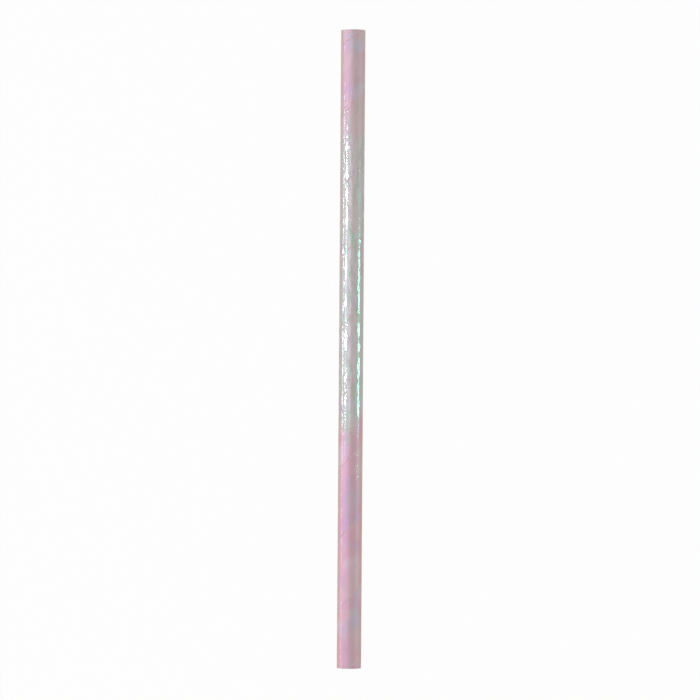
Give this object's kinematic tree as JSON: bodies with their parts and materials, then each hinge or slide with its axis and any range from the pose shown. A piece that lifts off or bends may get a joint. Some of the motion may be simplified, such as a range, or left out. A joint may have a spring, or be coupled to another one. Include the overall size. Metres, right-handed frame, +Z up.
{
  "type": "paper drinking straw",
  "caption": "Straight spiral-wound paper drinking straw with a pearl film on the outside, open at both square-cut ends.",
  "frame": {"origin": "on the surface that the straw lies on, below its axis at mid-length", "axes": "+Y along the straw, +Z up, +X across the straw"},
  "size_m": [0.008, 0.21, 0.0079],
  "materials": {
    "pearl_paper": "pearl film, glossy, shifting between pink, lilac, pale blue, green and cream; white paper at the cut ends and in the bore"
  },
  "bodies": {
    "root": {"straw_tube": "pearl_paper"}
  },
  "joints": []
}
